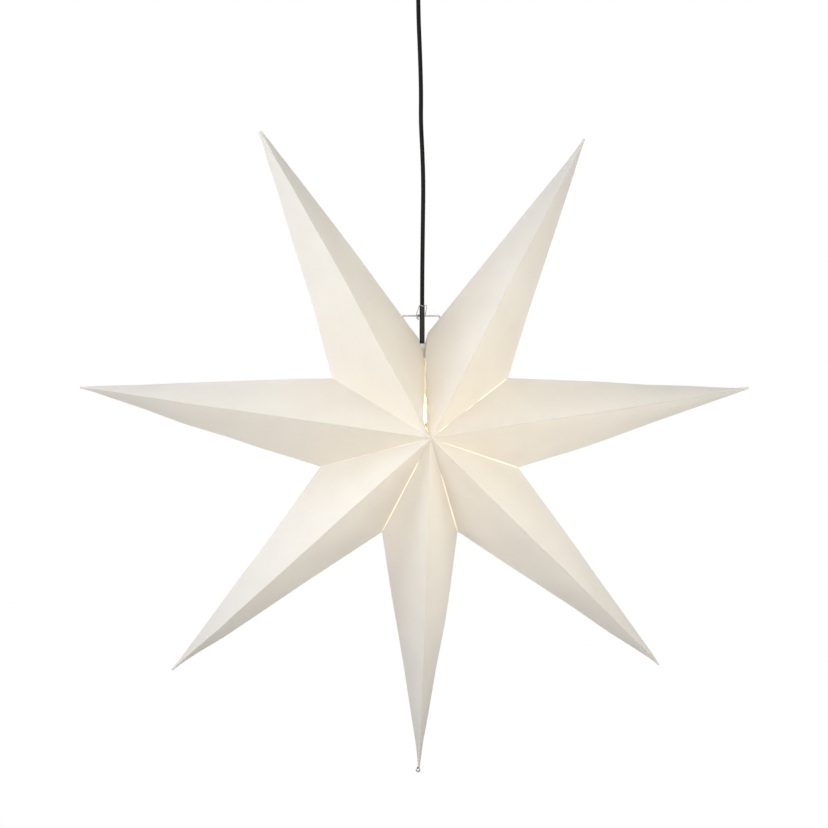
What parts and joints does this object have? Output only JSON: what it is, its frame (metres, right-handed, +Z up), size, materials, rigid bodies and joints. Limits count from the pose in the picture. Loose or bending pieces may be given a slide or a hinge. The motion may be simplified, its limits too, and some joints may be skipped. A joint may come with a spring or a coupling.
{
  "type": "star pendant light",
  "caption": "Folded paper star pendant light with pointed hollow arms, lampholder and bulb inside, textile cord and ceiling cup.",
  "frame": {"origin": "on the ceiling, at the centre of the fitting's strap, above the cord's clamp", "axes": "+Z up; -Y towards the viewer, out of the star's front peak; +X to the viewer's right"},
  "size_m": [0.9904, 0.2598, 1.2411],
  "materials": {
    "star_paper": "uncoated matt",
    "ball_chrome": "polished",
    "wire_steel": "drawn bright",
    "cord_textile": "woven textile",
    "sleeve_rubber": "matt",
    "lamp_plastic": "satin",
    "insert_ceramic": "glazed",
    "brass": "plain",
    "bulb_glass": "clear",
    "bulb_steel": "nickel plated",
    "bulb_black": "gloss",
    "filament": "coated",
    "strap_steel": "zinc plated",
    "block_plastic": "satin",
    "lead_brown": "smooth",
    "lead_blue": "smooth",
    "cup_black": "fine matt"
  },
  "bodies": {
    "lamp_drop": {"ceiling_strap": "strap_steel", "cord_clamp": "block_plastic", "clamp_screws": "strap_steel", "terminal_block": "block_plastic", "terminal_screws": "brass", "live_lead": "lead_brown", "neutral_lead": "lead_blue", "pendant_cord": "cord_textile", "cord_sleeve": "sleeve_rubber", "lampholder_nut": "lamp_plastic", "lampholder_cap": "lamp_plastic", "lampholder_insert": "insert_ceramic", "lampholder_skirt": "lamp_plastic", "lampholder_socket": "brass", "lampholder_contact": "brass", "contact_screws": "brass", "lamp_leads": "lead_brown"},
    "cup": {"ceiling_cup": "cup_black", "cup_gland": "cup_black", "grip_screw": "cup_black"},
    "bulb": {"bulb_glass": "bulb_glass", "bulb_cap": "bulb_steel", "bulb_insulator": "bulb_black", "bulb_contact": "bulb_steel", "bulb_stem": "bulb_glass", "bulb_filaments": "filament"},
    "star": {"star_point_bottom": "star_paper", "star_tip_ball": "ball_chrome", "hanger_wire": "wire_steel", "cord_loop": "wire_steel"},
    "top_right_point": {"star_point_top_right": "star_paper"},
    "right_point": {"star_point_right": "star_paper"},
    "low_right_point": {"star_point_low_right": "star_paper"},
    "top_left_point": {"star_point_top_left": "star_paper"},
    "left_point": {"star_point_left": "star_paper"},
    "low_left_point": {"star_point_low_left": "star_paper"}
  },
  "joints": [
    {"name": "star_swivel", "type": "hinge", "parent": "lamp_drop", "child": "star", "pos_m": [0.006, 0, -0.5505], "axis": [0, 0, 1], "continuous": true},
    {"name": "cup_slide", "type": "slide", "parent": "lamp_drop", "child": "cup", "axis": [0, 0, -1], "range_m": [0, 0.06]},
    {"name": "bulb_unscrew", "type": "slide", "parent": "lamp_drop", "child": "bulb", "axis": [0, 0, -1], "range_m": [0, 0.026]},
    {"name": "fold_top_left", "type": "hinge", "parent": "star", "child": "top_left_point", "pos_m": [0.0035, 0, -0.74], "axis": [0, -1, 0], "range_deg": [0, 145.2], "deforming": ["star_point_top_left", "star_point_bottom"]},
    {"name": "fold_top_right", "type": "hinge", "parent": "star", "child": "top_right_point", "pos_m": [0.0035, 0, -0.74], "axis": [0, 1, 0], "range_deg": [0, 144.71], "deforming": ["star_point_top_right"]},
    {"name": "fold_right", "type": "hinge", "parent": "star", "child": "right_point", "pos_m": [0.0035, 0, -0.74], "axis": [0, 1, 0], "range_deg": [0, 93.91], "deforming": ["star_point_right"]},
    {"name": "fold_low_right", "type": "hinge", "parent": "star", "child": "low_right_point", "pos_m": [0.0035, 0, -0.74], "axis": [0, 1, 0], "range_deg": [0, 44.41], "deforming": ["star_point_low_right"]},
    {"name": "fold_left", "type": "hinge", "parent": "star", "child": "left_point", "pos_m": [0.0035, 0, -0.74], "axis": [0, -1, 0], "range_deg": [0, 93.21], "deforming": ["star_point_left"]},
    {"name": "fold_low_left", "type": "hinge", "parent": "star", "child": "low_left_point", "pos_m": [0.0035, 0, -0.74], "axis": [0, -1, 0], "range_deg": [0, 44.31], "deforming": ["star_point_low_left"]}
  ],
  "couplings": [
    {"joint": "fold_top_right", "follows": "fold_top_left", "ratio": 0.99655},
    {"joint": "fold_right", "follows": "fold_top_left", "ratio": 0.64669},
    {"joint": "fold_low_right", "follows": "fold_top_left", "ratio": 0.30578},
    {"joint": "fold_left", "follows": "fold_top_left", "ratio": 0.64187},
    {"joint": "fold_low_left", "follows": "fold_top_left", "ratio": 0.30509}
  ]
}
